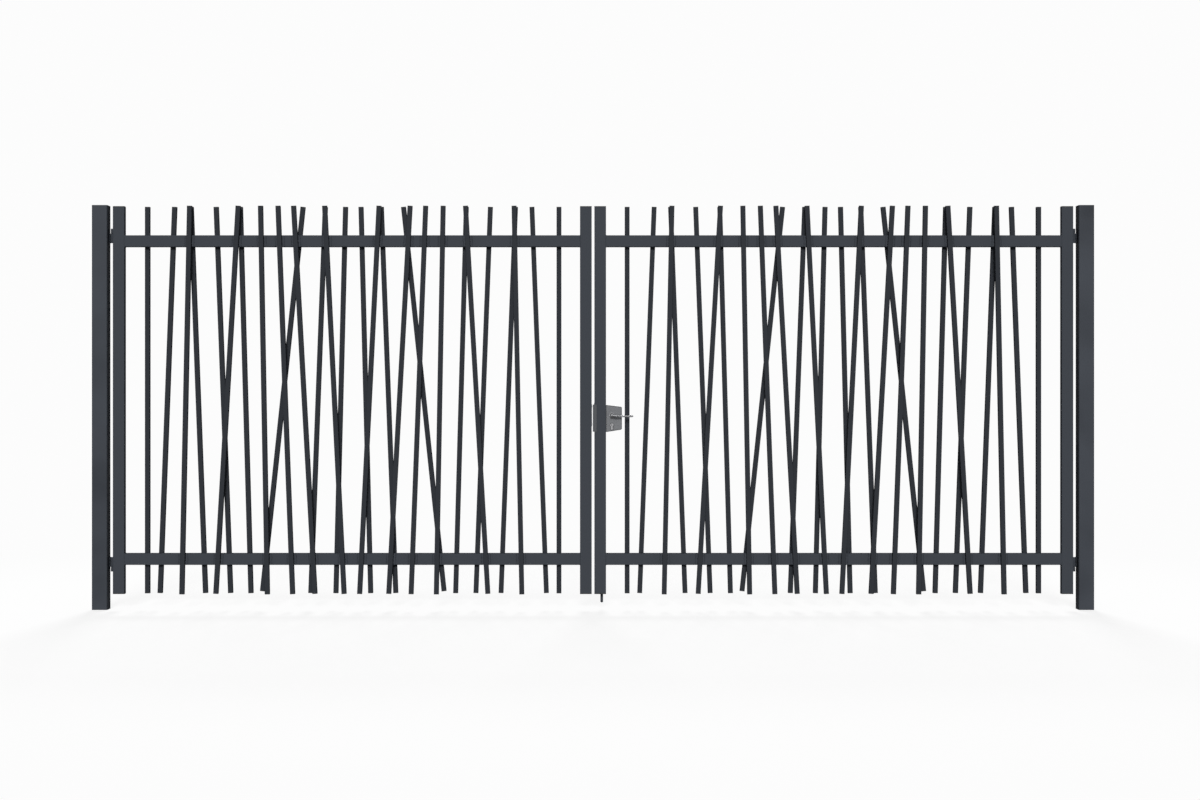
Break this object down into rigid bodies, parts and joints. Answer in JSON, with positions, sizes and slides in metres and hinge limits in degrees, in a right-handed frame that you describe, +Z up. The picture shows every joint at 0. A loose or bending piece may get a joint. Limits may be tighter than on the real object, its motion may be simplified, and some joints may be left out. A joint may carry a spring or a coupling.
{
  "type": "double-leaf steel swing gate",
  "caption": "Swing gate of square steel tube hung on posts, with slanted bars in front and behind, hinges, lever lock and drop bolt.",
  "frame": {"origin": "centre of the left post's flat foot, at ground level", "axes": "+X along the closed gate from the left post to the right post, +Y to the side that the leaves open to, +Z up; the front with the visible latch guard faces -Y"},
  "size_m": [5.16, 0.155, 2.084],
  "materials": {
    "powder_coat": "fine-textured anthracite powder coat, matt",
    "post_coat": "smooth anthracite powder coat, satin",
    "guard_coat": "anthracite coat, slightly lighter, satin",
    "plug_plastic": "black moulded plastic, matte",
    "lock_case": "grey cast aluminium, satin",
    "cylinder": "matt nickel on brass",
    "lever_silver": "satin anodised silver",
    "zinc_steel": "zinc plated, dull"
  },
  "bodies": {
    "posts": {"left_post": "post_coat", "right_post": "post_coat", "left_cap": "post_coat", "right_cap": "post_coat", "left_upper_pintle": "powder_coat", "left_lower_pintle": "powder_coat", "right_upper_pintle": "powder_coat", "right_lower_pintle": "powder_coat"},
    "left_leaf": {"left_hinge_stile": "powder_coat", "left_meeting_stile": "powder_coat", "left_top_rail": "powder_coat", "left_bottom_rail": "powder_coat", "left_front_bars": "powder_coat", "left_rear_bars": "powder_coat", "left_stile_plugs": "plug_plastic", "left_front_bar_plugs": "plug_plastic", "left_rear_bar_plugs": "plug_plastic", "left_upper_eye": "powder_coat", "left_lower_eye": "powder_coat", "keep_plate": "zinc_steel"},
    "right_leaf": {"right_hinge_stile": "powder_coat", "right_meeting_stile": "powder_coat", "right_top_rail": "powder_coat", "right_bottom_rail": "powder_coat", "right_front_bars": "powder_coat", "right_rear_bars": "powder_coat", "right_stile_plugs": "plug_plastic", "right_front_bar_plugs": "plug_plastic", "right_rear_bar_plugs": "plug_plastic", "right_upper_eye": "powder_coat", "right_lower_eye": "powder_coat", "latch_guard": "guard_coat", "lock_case": "lock_case", "lock_cylinder": "cylinder", "lever_roses": "lever_silver", "bolt_plate": "zinc_steel", "drop_bolt_guides": "powder_coat"},
    "lever": {"lever_spindle": "zinc_steel", "outer_lever": "lever_silver", "inner_lever": "lever_silver"},
    "drop_bolt": {"drop_bolt_rod": "powder_coat"}
  },
  "joints": [
    {"name": "left_leaf_swing", "type": "hinge", "parent": "posts", "child": "left_leaf", "pos_m": [0.052, 0.028, 0.23], "axis": [0, 0, 1], "range_deg": [0, 90]},
    {"name": "right_leaf_swing", "type": "hinge", "parent": "posts", "child": "right_leaf", "pos_m": [5.028, 0.028, 0.23], "axis": [0, 0, -1], "range_deg": [0, 90]},
    {"name": "lever_turn", "type": "hinge", "parent": "right_leaf", "child": "lever", "pos_m": [2.637, 0, 1.002], "axis": [0, 1, 0], "range_deg": [0, 40], "stiffness_Nm_per_rad": 1.5, "springref_deg": -34.38},
    {"name": "drop_bolt_slide", "type": "slide", "parent": "right_leaf", "child": "drop_bolt", "axis": [0, 0, 1], "range_m": [-0.08, 0]}
  ]
}
